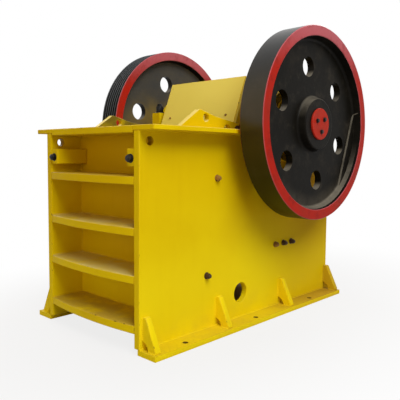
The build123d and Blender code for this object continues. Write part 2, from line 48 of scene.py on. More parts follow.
# Plates of the frame as modelled, and where their welds run
plate = {
    "inner": 0.4175, "outer": 0.4625, "front": -0.915, "rear": 1.025, "baseTop": 0.03,
    "wall": -0.688, "ribTops": (0.976, 0.697, 0.434, 0.157), "ribThick": 0.046, "underTop": 1.21,
    "underFlange": 1.222, "flangeGap": (0.115, 0.636), "flangeEnd": 0.766,
    "flangeTop": 1.25, "lugFace": 0.4415, "lugWelds": ((-0.600, -0.222), (-0.15168, -0.12468)),
    "gussets": (-0.88, -0.284, 0.39, 1.01), "gussetHalf": 0.02, "gussetUp": (0.080, 0.208), "gussetOut": (0.050, 0.106),
    "snipeRun": (0.992, 1.028),
    "snipeFill": ((0.010, 0.010), (0.022, 0.010), (0.034, 0.010), (0.010, 0.022), (0.022, 0.022), (0.034, 0.020),
                  (0.010, 0.034), (0.021, 0.033)),
    "rearWall": 0.611, "rearRibs": (0.30, 0.5067, 0.7133, 0.92), "rearRibThick": 0.04, "rearEnd": 0.925,
}


def tone(red, green, blue):  # screen colour 0-255 to linear
    parts = (red, green, blue)
    return tuple((c / 255 / 12.92 if c < 11 else ((c / 255 + 0.055) / 1.055) ** 2.4) for c in parts) + (1,)


class Wire:  # a socket that can be reckoned with
    def __init__(self, tree, socket=None):
        self.tree = tree
        self.socket = socket

    def node(self, kind, settings, values, out=0):
        made = self.tree.nodes.new("ShaderNode" + kind)
        for key, value in settings.items():
            setattr(made, key, value)
        for key, value in values.items():
            if isinstance(value, Wire):
                self.tree.links.new(value.socket, made.inputs[key])
            else:
                made.inputs[key].default_value = value
        return Wire(self.tree, made.outputs[out])

    def sum(self, operation, first, second, clamp=False):
        return self.node("Math", {"operation": operation, "use_clamp": clamp}, {0: first, 1: second})

    def __add__(self, other):
        return self.sum("ADD", self, other)

    def __radd__(self, other):
        return self.sum("ADD", other, self)

    def __sub__(self, other):
        return self.sum("SUBTRACT", self, other)

    def __rsub__(self, other):
        return self.sum("SUBTRACT", other, self)

    def __mul__(self, other):
        return self.sum("MULTIPLY", self, other)

    def __rmul__(self, other):
        return self.sum("MULTIPLY", other, self)

    def __pow__(self, other):
        return self.sum("POWER", self, other)

    def __abs__(self):
        return self.sum("ABSOLUTE", self, 0)

    def __gt__(self, other):
        return self.sum("GREATER_THAN", self, other)

    def __lt__(self, other):
        return self.sum("LESS_THAN", self, other)

    def most(self, other):
        return self.sum("MAXIMUM", self, other)

    def least(self, other):
        return self.sum("MINIMUM", self, other)

    def near(self, middle, half):  # 1 within half of middle
        return abs(self - middle) < half

    def rise(self, low, high):  # 0 below low, 1 above high
        return self.node("MapRange", {"interpolation_type": "SMOOTHSTEP"}, {0: self, 1: low, 2: high, 3: 0, 4: 1})

    def mix(self, under, over):  # colours, with this as the mask
        return self.node("Mix", {"data_type": "RGBA"}, {0: self, 6: under, 7: over}, 2)

    def noise(self, scale, detail=3, roughness=0.5):  # this is the place
        values = {"Vector": self, "Scale": scale, "Detail": detail, "Roughness": roughness}
        return self.node("TexNoise", {"noise_dimensions": "3D"}, values)

    def areas(self, noise, band):  # where the noise lies in the band or above
        return self.noise(*noise).rise(*band)

    def stretch(self, x, y, z):
        return self.node("Mapping", {"vector_type": "POINT"}, {"Vector": self, "Scale": (x, y, z)})

    def bump(self, strength, distance):  # this is the height
        return self.node("Bump", {}, {"Strength": strength, "Distance": distance, "Height": self})

    def split(self):
        parts = self.node("SeparateXYZ", {}, {0: self})
        return [Wire(self.tree, parts.socket.node.outputs[i]) for i in range(3)]


def offAxis(across, above):  # distance from an axis
    return (across * across + above * above) ** 0.5


def newFinish(name, gloss):
    material = bpy.data.materials.new(name)
    material.use_nodes = True
    tree = material.node_tree
    tree.nodes["Principled BSDF"].inputs["Specular IOR Level"].default_value = gloss
    start = Wire(tree)
    place = start.node("TexCoord", {}, {}, "Object")
    normal = start.node("TexCoord", {}, {}, "Normal")  # turns with the piece
    return material, tree.nodes["Principled BSDF"], place, normal


def plug(shader, **links):
    names = {"colour": "Base Color", "roughness": "Roughness", "metallic": "Metallic", "coat": "Coat Weight",
             "normal": "Normal"}
    for key, wire in links.items():
        wire.tree.links.new(wire.socket, shader.inputs[names[key]])


# Yellow enamel: broad patches, faint runs, painted shade towards the top, dust on what faces up, chips through to brown
# primer; painted light and shade by place on the plates, lugs and holes
enamel = {
    # Stains, painted shade and painted light
    "oliveDark": tone(82, 70, 32), "paleDustAndLight": tone(240, 226, 150), "paintedShade": tone(196, 146, 0), "holeShade": tone(134, 92, 8),
    "footDustAndShade": tone(160, 122, 34), "bright": tone(255, 232, 24),
    # Noise, with the band of it that shows
    "patches": ((1.7, 4), (0.35, 0.68)), "runStretch": (1, 1, 0.09), "runs": ((16, 4), (0.5, 0.8)),
    "dustAreas": ((9, 5, 0.6), (0.38, 0.7)), "shelfAreas": ((6, 5, 0.6), (0.2, 0.6)),
    "lowAreas": ((5, 5, 0.65), (0.42, 0.72)), "oliveAreas": ((8, 4), (0.1, 0.6)),
    "chipAreas": ((6, 2), (0.45, 0.62)), "chipNoise": (46, 6, 0.7), "chipBand": 0.02,
    "fine": (75, 4, 0.6), "dents": (5, 2),
    # Places on the machine
    "faceUp": (0.35, 0.9), "upright": 0.3, "topShade": (0.15, 1.2), "plateFrom": 0.455, "plateTop": 1.2,
    "rearwards": (0.05, 0.85), "beltRise": (0.5, 0.95), "beltFall": (1.0, 1.18), "lowLightFall": (0.3, 0.65),
    "wallDepth": 0.012, "bayRise": (0.3, 0.6), "shelfFront": -0.69, "shelfTop": 1.1, "lowFall": (0.03, 0.26),
    "middleRibs": (0.565, 0.2), "footTop": 0.06, "footRearwards": (-0.2, 0.9), "rearGusset": 0.985, "gussetTop": 0.3,
    "farLug": -0.40, "facing": 0.5, "lugFoot": 1.255, "lugLength": (-0.33, 0.29), "lugThick": (0.4235, 0.022),
    "lugHeight": (1.315, 0.057), "lugSlope": (0.25, 0.6),
    "slingHole": (-0.84, 1.167), "slingRadius": 0.0248, "slingDepth": (0.44, 0.0215),
    "boltHoleX": (0.52, 0.04), "boltHoleY": (0.055, 0.94), "boltHoleZ": (0.015, 0.0145),
    # How strongly each shows
    "patchShare": 0.35, "runShare": 0.1, "topShadeShare": 0.45, "rearShadeShare": 0.62, "beltShadeShare": 0.22,
    "brightShare": 0.35, "bayShadeShare": 0.35, "shelfShare": 0.6, "lowShare": 0.12, "middleRibDustAndLightShare": 0.85,
    "footShare": 0.25, "footRearShadeShare": 0.6, "rearGussetShadeShare": 0.5, "oliveShare": 0.85, "lugTopLightShare": 0.5,
    "slingShadeShare": 0.7, "boltHoleShadeShare": 0.9, "dustRough": 0.22, "fineRough": 0.12, "chipRough": 0.3,
    "fineHeight": 0.5, "dentHeight": 0.6, "chipHeight": 0.8, "bumpDistance": 0.004,
}
yellowLooks = {
    "framePaint": {"fresh": tone(236, 210, 10), "deep": tone(214, 177, 4), "dust": tone(164, 132, 72),
                   "chip": tone(84, 56, 32), "chipAt": 0.70, "dustUp": 0.2, "rough": 0.34, "peel": 0.10, "gloss": 0.03},
    "framePaintEdge": {"fresh": tone(228, 198, 12), "deep": tone(196, 156, 8), "dust": tone(170, 140, 80),
                       "chip": tone(70, 46, 28), "chipAt": 0.58, "dustUp": 0.4, "rough": 0.40, "peel": 0.10,
                       "gloss": 0.04},
    "guardPaint": {"fresh": tone(243, 225, 104), "deep": tone(232, 208, 88), "dust": tone(222, 206, 140),
                   "chip": tone(60, 48, 36), "chipAt": 0.67, "dustUp": 0.5, "rough": 0.45, "peel": 0.12, "gloss": 0.15},
    "castingPaint": {"fresh": tone(222, 190, 14), "deep": tone(190, 150, 10), "dust": tone(180, 158, 104),
                     "chip": tone(74, 50, 32), "chipAt": 0.66, "dustUp": 0.5, "rough": 0.48, "peel": 0.45,
                     "gloss": 0.15},
}


def yellowPaint(name, look):
    material, shader, place, normal = newFinish(name, look["gloss"])
    x, y, z = place.split()
    normalX, _, up = normal.split()
    faceUp = up.rise(*look["faceUp"])
    upright = abs(up) < look["upright"]
    beyondPlate = abs(x) > plate["outer"]
    betweenPlates = abs(x) < plate["inner"]
    fine = place.noise(*look["fine"])

    patches = place.areas(*look["patches"])
    runs = place.stretch(*look["runStretch"]).areas(*look["runs"])
    # painted shade: the enamel darkens towards the top, where less light falls; worn mixes the real patches and runs
    # with this painted shade
    topShade = z.rise(*look["topShade"])
    worn = patches * look["patchShare"] + runs * look["runShare"] + topShade * look["topShadeShare"]
    colour = worn.mix(look["fresh"], look["deep"])

    # Side plates: painted shade towards the rear and in a belt part way up, where the flywheel's shadow falls, and
    # painted light low down; painted shade on the wall between the front ribs
    outside = (abs(x) > look["plateFrom"]) * (z < look["plateTop"])
    belt = z.rise(*look["beltRise"]) * (1 - z.rise(*look["beltFall"]))
    rearBeltShade = y.rise(*look["rearwards"]) * look["rearShadeShare"] + belt * look["beltShadeShare"]
    colour = (outside * rearBeltShade).mix(colour, look["paintedShade"])
    colour = (outside * (1 - z.rise(*look["lowLightFall"])) * look["brightShare"]).mix(colour, look["bright"])
    bayShade = betweenPlates * y.near(plate["wall"], look["wallDepth"]) * upright * z.rise(*look["bayRise"])
    colour = (bayShade * look["bayShadeShare"]).mix(colour, look["paintedShade"])

    # Dust: thin all over, thicker on the front ribs and the base flanges, with painted shade on the flanges towards the
    # rear and on the rear gussets
    dusty = faceUp * place.areas(*look["dustAreas"]) * look["dustUp"]
    shelf = faceUp * (y < look["shelfFront"]) * betweenPlates * (z < look["shelfTop"])
    shelf = shelf * place.areas(*look["shelfAreas"]) * look["shelfShare"]
    low = (1 - z.rise(*look["lowFall"])) * place.areas(*look["lowAreas"]) * look["lowShare"]
    colour = (dusty + low).most(shelf).mix(colour, look["dust"])
    # paler dust on the middle front ribs' tops: real dust, partly painted light on tops that lie in shade
    colour = (shelf * z.near(*look["middleRibs"]) * look["middleRibDustAndLightShare"]).mix(colour, look["paleDustAndLight"])
    # base flange tops: brown dust, with painted shade that deepens towards the rear
    footDustAndShadeWeight = look["footShare"] + look["footRearShadeShare"] * y.rise(*look["footRearwards"])
    colour = (faceUp * beyondPlate * (z < look["footTop"]) * footDustAndShadeWeight).mix(colour, look["footDustAndShade"])
    # painted shade on the rear gussets
    rearGussetShade = beyondPlate * (y > look["rearGusset"]) * (z > plate["baseTop"]) * (z < look["gussetTop"])
    colour = (rearGussetShade * look["rearGussetShadeShare"]).mix(colour, look["footDustAndShade"])

    # Lugs: the far one darker olive in patches on its inner face, both with painted light on their sloping tops;
    # painted shade in the sling hole and in the base flanges' bolt holes
    alongLug = y.near(*look["lugLength"])
    # the far lug's inner face turns darker olive in patches
    farLug = (x < look["farLug"]) * (normalX > look["facing"]) * (z > look["lugFoot"]) * alongLug
    colour = (farLug * place.areas(*look["oliveAreas"]) * look["oliveShare"]).mix(colour, look["oliveDark"])
    # painted light on the lugs' upward sloping tops
    lugTopLight = abs(x).near(*look["lugThick"]) * alongLug * z.near(*look["lugHeight"]) * up.rise(*look["lugSlope"])
    colour = (lugTopLight * look["lugTopLightShare"]).mix(colour, look["paleDustAndLight"])
    slingY, slingZ = look["slingHole"]
    # painted shade on the sling hole's bore
    slingHole = (offAxis(y - slingY, z - slingZ) < look["slingRadius"]) * abs(x).near(*look["slingDepth"])
    colour = (slingHole * look["slingShadeShare"]).mix(colour, look["holeShade"])
    # painted shade, in the chip brown, on the walls of the base flanges' bolt holes
    boltHoleShade = z.near(*look["boltHoleZ"]) * abs(x).near(*look["boltHoleX"]) * upright * y.near(*look["boltHoleY"])
    colour = (boltHoleShade * look["boltHoleShadeShare"]).mix(colour, look["chip"])

    flakes = place.noise(*look["chipNoise"]).rise(look["chipAt"], look["chipAt"] + look["chipBand"])
    chips = place.areas(*look["chipAreas"]) * flakes
    colour = chips.mix(colour, look["chip"])
    rough = look["rough"] + look["dustRough"] * dusty + look["fineRough"] * fine + look["chipRough"] * chips
    dents = place.noise(*look["dents"])
    height = fine * look["fineHeight"] + dents * look["dentHeight"] - chips * look["chipHeight"]
    plug(shader, colour=colour, roughness=rough, normal=height.bump(look["peel"], look["bumpDistance"]))
    return material


# Black wheel enamel with red rim faces, dust inside the rim and round the hub, a painted grey sheen and a painted
# yellow reflection on the sheave
wheelLook = {
    "black": tone(17, 15, 11), "worn": tone(33, 29, 23), "red": tone(172, 32, 19), "faded": tone(156, 40, 28),
    "dust": tone(120, 113, 100), "yellowReflection": tone(172, 142, 44), "greySheen": tone(112, 114, 116),
    "pinkSheen": tone(180, 98, 106), "stained": tone(116, 28, 22), "grooveShade": tone(10, 10, 10), "rubbedAndSheen": tone(72, 75, 78),
    # Noise, with the band of it that shows
    "scuffs": (5.5, 6, 0.62), "scuffBand": (0.46, 0.74), "fine": (80, 3, 0.6), "waves": (14, 4),
    "castGrain": (34, 3, 0.6), "rimWander": (24, 2), "brushAreas": ((11, 6, 0.7), (0.52, 0.78)),
    "reflectionAreas": ((5, 4), (0.1, 0.7)), "lyingAreas": ((7, 5, 0.6), (0.15, 0.6)), "redAreas": ((4, 4), (0.4, 0.7)),
    "nicks": ((60, 5, 0.7), (0.69, 0.71)), "stainAreas": ((13, 5, 0.65), (0.48, 0.72)),
    # Places on the wheel
    "rimStart": 0.567, "rimGap": 0.002, "rimEdge": 0.0035, "barrelFrom": 0.01, "grooveFrom": 0.02,
    "grooveDark": (0.6215, 0.6285), "ridgeSheen": (0.6285, 0.635), "middle": 0.69, "halfWidth": 0.0835, "hub": 0.3,
    "chord": 0.485, "chordTurn": radians(-20), "chordHalf": 0.002, "sillRadius": (0.45, 0.56), "sillDrop": (0.30, 0.50),
    "faceUp": (0.15, 0.8), "faceOut": (0.55, 0.68), "facing": 0.5, "cornerIn": (0.5, 0.6), "cornerOut": (0.8, 0.9),
    "sunk": (-0.35, 0.12), "towardsGuard": (-0.55, -0.15), "reflectionAhead": (0.25, 0.6), "reflectionHeight": (0.05, 0.4),
    "sheenHeight": (0.3, 0.64),
    # How strongly each shows
    "sillShare": 0.35, "hubLess": 0.4, "chordShare": 0.7, "lyingShare": 0.85, "brushShare": 0.08, "sheaveReflectionShare": 1.0,
    "reflectionHigh": 0.06, "reflectionFront": 0.2, "sheaveSheen": 0.26, "barrelReflectionShare": 0.07, "wander": 0.003, "sheenShare": 0.85,
    "stainShare": 0.5, "chamferHighlightShare": 0.5, "rimReflectionShare": 0.12, "rough": 0.36, "scuffRough": 0.10, "dustRough": 0.35,
    "rimSmooth": 0.04, "fineHeight": 0.4, "waveHeight": 0.6, "castHeight": 1.2, "bump": 0.16, "bumpDistance": 0.004,
    "gloss": 0.05, "barrelCoat": 0.5, "coatRough": 0.25,
}


def wheelPaint(name, look):
    material, shader, place, normal = newFinish(name, look["gloss"])
    x, y, z = place.split()
    normalX, _, normalZ = normal.split()
    dy = y - shaftY
    dz = z - shaftZ
    radius = offAxis(dy, dz)
    face = abs(normalX).rise(*look["faceOut"])
    side = abs(abs(x) - look["middle"]) > look["halfWidth"]
    inside = radius < look["rimStart"] - look["rimGap"]
    barrel = (radius > look["rimStart"] + look["barrelFrom"]) * (1 - face) * (x > 0)
    sheaveWeb = (x < 0) * (normalX > look["facing"])
    scuffs = place.noise(*look["scuffs"])
    fine = place.noise(*look["fine"])
    black = scuffs.rise(*look["scuffBand"]).mix(look["black"], look["worn"])

    # Dust heaped inside the rim and on the sill below it; a thin line of the dust tone on the balance segment's chord
    # face
    chordLine = dy * cos(look["chordTurn"]) + dz * sin(look["chordTurn"])
    chord = chordLine.near(look["chord"], look["chordHalf"])
    sill = radius.rise(*look["sillRadius"]) * (-1 * dz).rise(*look["sillDrop"]) * look["sillShare"]
    heapedAndChord = normalZ.rise(*look["faceUp"]) * (1 - look["hubLess"] * (radius < look["hub"]))
    heapedAndChord = heapedAndChord + chord * look["chordShare"] + sill
    brushed = inside * face * place.areas(*look["brushAreas"]) * look["brushShare"]
    dust = heapedAndChord.least(1) * inside * look["lyingShare"] * place.areas(*look["lyingAreas"]) + brushed
    black = dust.mix(black, look["dust"])

    # The sheave: a painted grey sheen on its web and a painted reflection of the yellow guard and frame, low down and
    # towards the guard; the same painted yellow reflection on the front of the flywheel's barrel
    black = (sheaveWeb * inside * look["sheaveSheen"]).mix(black, look["greySheen"])
    lowDown = look["reflectionHigh"] + (1 - look["reflectionHigh"]) * (-1 * dz).rise(*look["sunk"])
    guardwards = look["reflectionFront"] + (1 - look["reflectionFront"]) * dy.rise(*look["towardsGuard"])
    sheaveReflection = sheaveWeb * (inside + side) * lowDown * guardwards * place.areas(*look["reflectionAreas"]) * look["sheaveReflectionShare"]
    black = sheaveReflection.mix(black, look["yellowReflection"])
    barrelReflection = barrel * (-1 * dy).rise(*look["reflectionAhead"]) * (1 - abs(dz).rise(*look["reflectionHeight"]))
    black = (barrelReflection * look["barrelReflectionShare"]).mix(black, look["yellowReflection"])
    # painted shade in the bottoms of the sheave's grooves and a painted sheen on the ridges between them
    grooved = (x < 0) * (radius > look["rimStart"] + look["grooveFrom"]) * (1 - side)
    black = (grooved * (1 - radius.rise(*look["grooveDark"]))).mix(black, look["grooveShade"])
    black = (grooved * radius.rise(*look["ridgeSheen"])).mix(black, look["rubbedAndSheen"])

    # Red rim faces: a painted pink sheen high up and a painted highlight on the chamfers, with stains and nicks
    wandering = radius + place.noise(*look["rimWander"]) * look["wander"]
    onRim = (wandering > look["rimStart"] + look["rimEdge"]) * face * side
    red = place.areas(*look["redAreas"]).mix(look["red"], look["faded"])
    red = (dz.rise(*look["sheenHeight"]) * look["sheenShare"]).mix(red, look["pinkSheen"])
    red = (place.areas(*look["stainAreas"]) * look["stainShare"]).mix(red, look["stained"])
    # painted highlight: the chamfers between rim face and barrel take the pink
    chamferHighlight = abs(normalX).rise(*look["cornerIn"]) * (1 - abs(normalX).rise(*look["cornerOut"]))
    red = (chamferHighlight * look["chamferHighlightShare"]).mix(red, look["pinkSheen"])
    # the painted yellow reflection also on the sheave's red rim
    red = (sheaveReflection * look["rimReflectionShare"]).mix(red, look["yellowReflection"])
    nicks = place.areas(*look["nicks"]) * onRim
    colour = nicks.mix(onRim.mix(black, red), look["black"])

    rough = look["rough"] + look["scuffRough"] * scuffs + look["dustRough"] * (dust + sheaveReflection) - look["rimSmooth"] * onRim
    casting = place.noise(*look["castGrain"]) * face * inside
    waves = place.noise(*look["waves"])
    height = fine * look["fineHeight"] + waves * look["waveHeight"] + casting * look["castHeight"]
    bump = height.bump(look["bump"], look["bumpDistance"])
    shader.inputs["Coat Roughness"].default_value = look["coatRough"]
    plug(shader, colour=colour, roughness=rough, coat=barrel * look["barrelCoat"], normal=bump)
    return material


# Red enamel of the end caps
capLook = {"red": tone(170, 40, 24), "faded": tone(156, 44, 30), "chip": tone(50, 40, 36), "rough": 0.38, "gloss": 0.08,
           "fadedAreas": ((14, 4), (0.42, 0.7)), "chips": ((90, 5, 0.7), (0.68, 0.70)), "fine": (110, 3),
           "fineRough": 0.15, "bump": 0.12, "bumpDistance": 0.002}


def capPaint(name, look):
    material, shader, place, _ = newFinish(name, look["gloss"])
    colour = place.areas(*look["fadedAreas"]).mix(look["red"], look["faded"])
    chips = place.areas(*look["chips"])
    colour = chips.mix(colour, look["chip"])
    fine = place.noise(*look["fine"])
    bump = (fine - chips).bump(look["bump"], look["bumpDistance"])
    plug(shader, colour=colour, roughness=look["rough"] + look["fineRough"] * fine, normal=bump)
    return material


# Cast manganese steel of the jaw plates and cheeks: brown skin, bright where rock rubs the tips
linerLook = {"skin": tone(74, 62, 54), "rust": tone(112, 70, 44), "bright": tone(150, 146, 140),
             "dust": tone(150, 140, 122), "gloss": 0.4, "rustAreas": ((7, 6, 0.65), (0.42, 0.7)),
             "scratchStretch": (30, 30, 1.2), "scratches": (4, 4, 0.7), "scratchBand": (0.4, 0.62),
             "grain": (95, 5, 0.65), "tips": (0.86, 0.96), "brightShare": 0.8, "faceUp": (0.3, 0.9), "lyingShare": 0.6,
             "dustAreas": ((12, 5), (0.5, 0.75)), "dustShare": 0.25, "bump": 0.45, "bumpDistance": 0.004,
             "rough": 0.62, "rubbedSmooth": 0.28, "dustRough": 0.2, "metal": 0.35, "rubbedMetal": 0.5}


def linerSteel(name, look):
    material, shader, place, normal = newFinish(name, look["gloss"])
    _, normalY, up = normal.split()
    scratches = place.stretch(*look["scratchStretch"]).noise(*look["scratches"])
    colour = place.areas(*look["rustAreas"]).mix(look["skin"], look["rust"])
    rubbedAndSheen = abs(normalY).rise(*look["tips"]) * scratches.rise(*look["scratchBand"])
    colour = (rubbedAndSheen * look["brightShare"]).mix(colour, look["bright"])
    dust = up.rise(*look["faceUp"]) * look["lyingShare"] + place.areas(*look["dustAreas"]) * look["dustShare"]
    colour = dust.mix(colour, look["dust"])
    height = place.noise(*look["grain"]) + scratches * rubbedAndSheen
    plug(shader, colour=colour, roughness=look["rough"] - look["rubbedSmooth"] * rubbedAndSheen + look["dustRough"] * dust,
         metallic=look["metal"] + look["rubbedMetal"] * rubbedAndSheen, normal=height.bump(look["bump"], look["bumpDistance"]))
    return material


# Oiled steel of shaft, rod, spring and shims, and the dark and rusty finishes of the bolts
steel = {"gloss": 0.4, "stains": (22, 6, 0.62), "stainBand": 0.28, "fine": (160, 4, 0.6), "stainHeight": 0.5,
         "bump": 0.2, "bumpDistance": 0.002, "stainRough": 0.25, "fineRough": 0.1, "stainDull": 0.5}
steelLooks = {
    "oiledSteel": {"clean": tone(128, 124, 118), "dirty": tone(70, 60, 50), "from": 0.40, "rough": 0.34, "metal": 0.85},
    "blackBolt": {"clean": tone(16, 15, 14), "dirty": tone(34, 29, 24), "from": 0.50, "rough": 0.42, "metal": 0.4},
    "brownBolt": {"clean": tone(66, 44, 18), "dirty": tone(36, 24, 12), "from": 0.46, "rough": 0.55, "metal": 0.2},
    "rustyBolt": {"clean": tone(150, 108, 44), "dirty": tone(92, 60, 20), "from": 0.42, "rough": 0.62, "metal": 0.2},
}


def boltSteel(name, look):
    material, shader, place, _ = newFinish(name, look["gloss"])
    stain = place.noise(*look["stains"]).rise(look["from"], look["from"] + look["stainBand"])
    fine = place.noise(*look["fine"])
    colour = stain.mix(look["clean"], look["dirty"])
    bump = (fine + stain * look["stainHeight"]).bump(look["bump"], look["bumpDistance"])
    plug(shader, colour=colour, roughness=look["rough"] + look["stainRough"] * stain + look["fineRough"] * fine,
         metallic=look["metal"] - look["stainDull"] * stain, normal=bump)
    return material


finishes = {name: yellowPaint(name, {**enamel, **look}) for name, look in yellowLooks.items()}
finishes.update({name: boltSteel(name, {**steel, **look}) for name, look in steelLooks.items()})
finishes["wheelPaint"] = wheelPaint("wheelPaint", wheelLook)
finishes["capPaint"] = capPaint("capPaint", capLook)
finishes["linerSteel"] = linerSteel("linerSteel", linerLook)
slotFinish = {"frame_paint": "framePaint", "guard_paint": "guardPaint", "wheel_paint": "wheelPaint",
              "cap_paint": "capPaint", "liner_steel": "linerSteel", "jaw_casting": "castingPaint",
              "bare_steel": "oiledSteel"}
for node, piece in frame["nodes"].items():
    piece.data.materials.clear()
    piece.data.materials.append(finishes[slotFinish[nodeSlot[node]]])
print("finishes:", len(finishes))


def pickOnly(piece):
    bpy.ops.object.select_all(action="DESELECT")
    piece.select_set(True)
    bpy.context.view_layer.objects.active = piece


def joinAll(pieces):  # into the first, which stays selected
    pickOnly(pieces[0])
    for piece in pieces:
        piece.select_set(True)
    bpy.ops.object.join()


def paintOver(piece, finish):
    piece.data.materials.clear()
    piece.data.materials.append(finishes[finish])


# Plates with their cut edges broken, so that they catch the light and show their wear
eased = {
    "width": 0.0035, "sharpFrom": 40, "smoothTo": 35, "mergeWithin": 0.00002, "flatWithin": 0.4,
    "finish": "framePaintEdge",
    "pairs": ("side_plate", "top_flange", "base_flange", "gussets", "lifting_lug", "clamp_bar", "bearing_housing",
              "bearing_cap", "bearing_cover", "guide_bar"),
    "single": ("front_wall", "front_top_plate", "front_rib_1", "front_rib_2", "front_rib_3", "front_rib_4", "rear_wall",
               "rear_ribs", "spring_bracket", "adjusting_block", "jaw_support_bar", "guard_plate"),
}


def easeEdges(node, look):
    piece = bpy.data.objects.new(node + "_eased", frame["nodes"][node].data.copy())
    bpy.context.collection.objects.link(piece)
    pickOnly(piece)
    bpy.ops.mesh.customdata_custom_splitnormals_clear()
    bpy.ops.object.mode_set(mode="EDIT")
    bpy.ops.mesh.select_all(action="SELECT")
    bpy.ops.mesh.remove_doubles(threshold=look["mergeWithin"])
    bpy.ops.mesh.dissolve_limited(angle_limit=radians(look["flatWithin"]))
    bpy.ops.object.mode_set(mode="OBJECT")
    piece.data.materials.append(finishes[look["finish"]])
    bevel = piece.modifiers.new("brokenEdge", "BEVEL")
    bevel.width = look["width"]
    bevel.segments = 1
    bevel.limit_method = "ANGLE"
    bevel.angle_limit = radians(look["sharpFrom"])
    bevel.material = 1
    bpy.ops.object.modifier_apply(modifier=bevel.name)
    bpy.ops.object.shade_smooth_by_angle(angle=radians(look["smoothTo"]))
    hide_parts(node)
    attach(piece, nodeBody[node])


easedNodes = [f"{part}_{side}" for side in ("left", "right") for part in eased["pairs"]] + list(eased["single"])
for node in easedNodes:
    easeEdges(node, eased)
print("eased plates:", len(easedNodes))

# Hex bolts and nuts: washer, chamfered head, and the threaded end of the stud
boltForm = {"washerSides": 24, "washerRadius": 0.66, "washerEdge": 0.25, "headEdge": 0.055, "studSides": 18,
            "studSunk": 0.002, "pitch": 0.3, "root": 0.9, "endInset": 0.16, "endDepth": 0.12, "edgeSteps": 2,
            "sharpFrom": 40, "smoothTo": 30, "turn": 0.61}


def breakEdges(piece, width, form):
    pickOnly(piece)
    bevel = piece.modifiers.new("edge", "BEVEL")
    bevel.width = width
    bevel.segments = form["edgeSteps"]
    bevel.angle_limit = radians(form["sharpFrom"])
    bpy.ops.object.modifier_apply(modifier=bevel.name)


def makeBolt(look, form):
    across, head, washer, stud, tail = (look[key] for key in ("across", "head", "washer", "stud", "tail"))
    bpy.ops.object.select_all(action="DESELECT")
    bpy.ops.mesh.primitive_cylinder_add(vertices=form["washerSides"], radius=across * form["washerRadius"],
                                        depth=washer, location=(0, 0, washer / 2))
    disc = bpy.context.object
    breakEdges(disc, washer * form["washerEdge"], form)
    bpy.ops.mesh.primitive_cylinder_add(vertices=6, radius=across / sqrt(3), depth=head,
                                        location=(0, 0, washer + head / 2))
    nut = bpy.context.object
    breakEdges(nut, across * form["headEdge"], form)
    parts = [nut, disc]
    if tail:
        bpy.ops.object.select_all(action="DESELECT")
        bpy.ops.mesh.primitive_circle_add(vertices=form["studSides"], radius=stud, fill_type="NGON",
                                          location=(0, 0, washer + head - form["studSunk"]))
        bpy.ops.object.mode_set(mode="EDIT")
        turns = max(2, round(tail / (stud * form["pitch"])))
        step = (tail + form["studSunk"]) / turns / 2
        for half in range(2 * turns):  # crest and root of the thread in turn
            bpy.ops.mesh.extrude_region_move(TRANSFORM_OT_translate={"value": (0, 0, step)})
            size = form["root"] if half % 2 == 0 else 1 / form["root"]
            bpy.ops.transform.resize(value=(size, size, 1), center_override=(0, 0, 0))
        bpy.ops.mesh.inset(thickness=stud * form["endInset"], depth=stud * form["endDepth"])
        bpy.ops.mesh.select_all(action="SELECT")
        bpy.ops.mesh.normals_make_consistent(inside=False)
        bpy.ops.object.mode_set(mode="OBJECT")
        bpy.ops.object.transform_apply(location=True, rotation=True, scale=True)
        parts.append(bpy.context.object)
    joinAll(parts)
    bpy.ops.object.transform_apply(location=True, rotation=True, scale=True)
    return nut


def setOut(pattern, places, name, body, finish, form):  # copies of one pattern, joined into one piece
    copies = []
    for number, (point, ahead) in enumerate(places):
        copy = bpy.data.objects.new(name, pattern.data.copy())
        bpy.context.collection.objects.link(copy)
        turned = Vector(ahead).to_track_quat("Z", "Y").to_matrix().to_4x4()
        copy.data.transform(Matrix.Translation(point) @ turned @ Matrix.Rotation(form["turn"] * number, 4, "Z"))
        copies.append(copy)
    bpy.data.objects.remove(pattern)
    joinAll(copies)
    piece = copies[0]
    bpy.ops.object.shade_smooth_by_angle(angle=radians(form["smoothTo"]))
    piece.name = name
    paintOver(piece, finish)
    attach(piece, body)


def ringOf(x, radius, count, start, centre=(shaftY, shaftZ)):  # places on a bolt circle, on both ends
    turns = [start + 2 * pi * k / count for k in range(count)]
    spots = [(centre[0] + radius * cos(turn), centre[1] + radius * sin(turn)) for turn in turns]
    return [((side * x, y, z), (side, 0, 0)) for side in bothSides for y, z in spots]


def onPlates(*spots):  # places on the outside of both side plates
    return [((side * plate["outer"], y, z), (side, 0, 0)) for side in bothSides for y, z in spots]


def onGuard(x, y, z, above, nip):  # places on the guard, which leans back by the nip angle
    lean = radians(nip)
    outward = (0, -cos(lean), sin(lean))
    return [((side * x, y + above * sin(lean), z + above * cos(lean)), outward) for side in bothSides]


